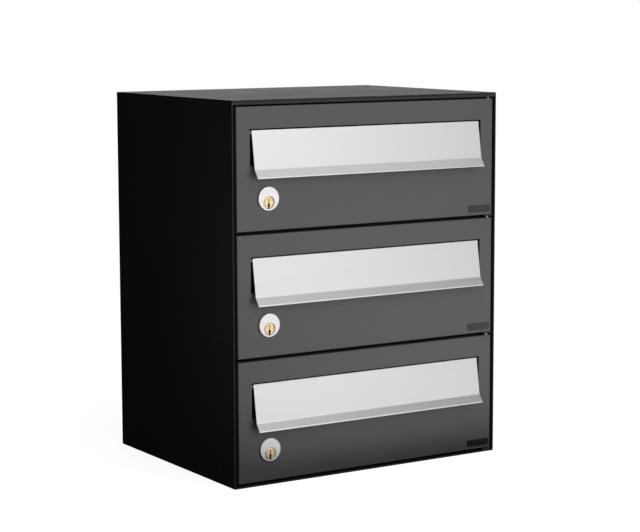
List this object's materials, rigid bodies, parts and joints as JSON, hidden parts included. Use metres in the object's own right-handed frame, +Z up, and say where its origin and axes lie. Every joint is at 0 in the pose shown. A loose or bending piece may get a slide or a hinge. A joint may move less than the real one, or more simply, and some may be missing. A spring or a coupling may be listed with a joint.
{
  "type": "cluster mailbox unit",
  "caption": "Steel casing with a stack of letter boxes, each with a side-hung door, a top-hung letter flap and a cam lock.",
  "frame": {"origin": "centre of the footprint, flap lips included, at the underside of the casing", "axes": "+Z up, -Y towards a person at the doors, +X to that person's right"},
  "size_m": [0.35, 0.2816, 0.42],
  "materials": {
    "casing_black": "fine-textured matt black powder coat",
    "door_anthracite": "fine-textured satin anthracite powder coat",
    "flap_aluminium": "satin anodised",
    "pin_steel": "bright drawn bar",
    "zinc_steel": "zinc plated",
    "lock_nickel": "satin nickel plate",
    "plug_brass": "turned brass",
    "bush_nylon": "moulded nylon",
    "badge_black": "smooth black plate",
    "bumper_rubber": "soft black rubber"
  },
  "bodies": {
    "casing": {"left_side_panel": "casing_black", "right_side_panel": "casing_black", "top_panel": "casing_black", "bottom_panel": "casing_black", "back_panel": "casing_black", "header_rail": "casing_black", "upper_shelf": "casing_black", "lower_shelf": "casing_black", "bottom_hinge_lug": "casing_black", "hinge_pins": "pin_steel", "back_rivets": "casing_black", "upper_strike": "casing_black", "middle_strike": "casing_black", "lower_strike": "casing_black"},
    "lower_door": {"lower_door_panel": "door_anthracite", "lower_door_bushes": "bush_nylon", "lower_badge": "badge_black", "lower_flap_brackets": "zinc_steel", "lower_flap_rod": "pin_steel", "lower_rod_clips": "zinc_steel", "lower_flap_bumpers": "bumper_rubber", "lower_lock_body": "lock_nickel", "lower_lock_nut": "zinc_steel"},
    "lower_flap_leaf": {"lower_flap": "flap_aluminium"},
    "lower_lock": {"lower_lock_plug": "plug_brass", "lower_lock_cam": "zinc_steel", "lower_cam_screw": "zinc_steel"},
    "middle_door": {"middle_door_panel": "door_anthracite", "middle_door_bushes": "bush_nylon", "middle_badge": "badge_black", "middle_flap_brackets": "zinc_steel", "middle_flap_rod": "pin_steel", "middle_rod_clips": "zinc_steel", "middle_flap_bumpers": "bumper_rubber", "middle_lock_body": "lock_nickel", "middle_lock_nut": "zinc_steel"},
    "middle_flap_leaf": {"middle_flap": "flap_aluminium"},
    "middle_lock": {"middle_lock_plug": "plug_brass", "middle_lock_cam": "zinc_steel", "middle_cam_screw": "zinc_steel"},
    "upper_door": {"upper_door_panel": "door_anthracite", "upper_door_bushes": "bush_nylon", "upper_badge": "badge_black", "upper_flap_brackets": "zinc_steel", "upper_flap_rod": "pin_steel", "upper_rod_clips": "zinc_steel", "upper_flap_bumpers": "bumper_rubber", "upper_lock_body": "lock_nickel", "upper_lock_nut": "zinc_steel"},
    "upper_flap_leaf": {"upper_flap": "flap_aluminium"},
    "upper_lock": {"upper_lock_plug": "plug_brass", "upper_lock_cam": "zinc_steel", "upper_cam_screw": "zinc_steel"}
  },
  "joints": [
    {"name": "lower_door_hinge", "type": "hinge", "parent": "casing", "child": "lower_door", "pos_m": [0.1658, -0.12525, 0.07147], "axis": [0, 0, 1], "range_deg": [0, 110]},
    {"name": "lower_flap_hinge", "type": "hinge", "parent": "lower_door", "child": "lower_flap_leaf", "pos_m": [0, -0.12545, 0.11003], "axis": [-1, 0, 0], "range_deg": [0, 75]},
    {"name": "lower_key_turn", "type": "hinge", "parent": "lower_door", "child": "lower_lock", "pos_m": [-0.131, -0.12925, 0.035], "axis": [0, -1, 0], "range_deg": [0, 90]},
    {"name": "middle_door_hinge", "type": "hinge", "parent": "casing", "child": "middle_door", "pos_m": [0.1658, -0.12525, 0.2089], "axis": [0, 0, 1], "range_deg": [0, 110]},
    {"name": "middle_flap_hinge", "type": "hinge", "parent": "middle_door", "child": "middle_flap_leaf", "pos_m": [0, -0.12545, 0.24747], "axis": [-1, 0, 0], "range_deg": [0, 75]},
    {"name": "middle_key_turn", "type": "hinge", "parent": "middle_door", "child": "middle_lock", "pos_m": [-0.131, -0.12925, 0.17243], "axis": [0, -1, 0], "range_deg": [0, 90]},
    {"name": "upper_door_hinge", "type": "hinge", "parent": "casing", "child": "upper_door", "pos_m": [0.1658, -0.12525, 0.34633], "axis": [0, 0, 1], "range_deg": [0, 110]},
    {"name": "upper_flap_hinge", "type": "hinge", "parent": "upper_door", "child": "upper_flap_leaf", "pos_m": [0, -0.12545, 0.3849], "axis": [-1, 0, 0], "range_deg": [0, 75]},
    {"name": "upper_key_turn", "type": "hinge", "parent": "upper_door", "child": "upper_lock", "pos_m": [-0.131, -0.12925, 0.30987], "axis": [0, -1, 0], "range_deg": [0, 90]}
  ]
}
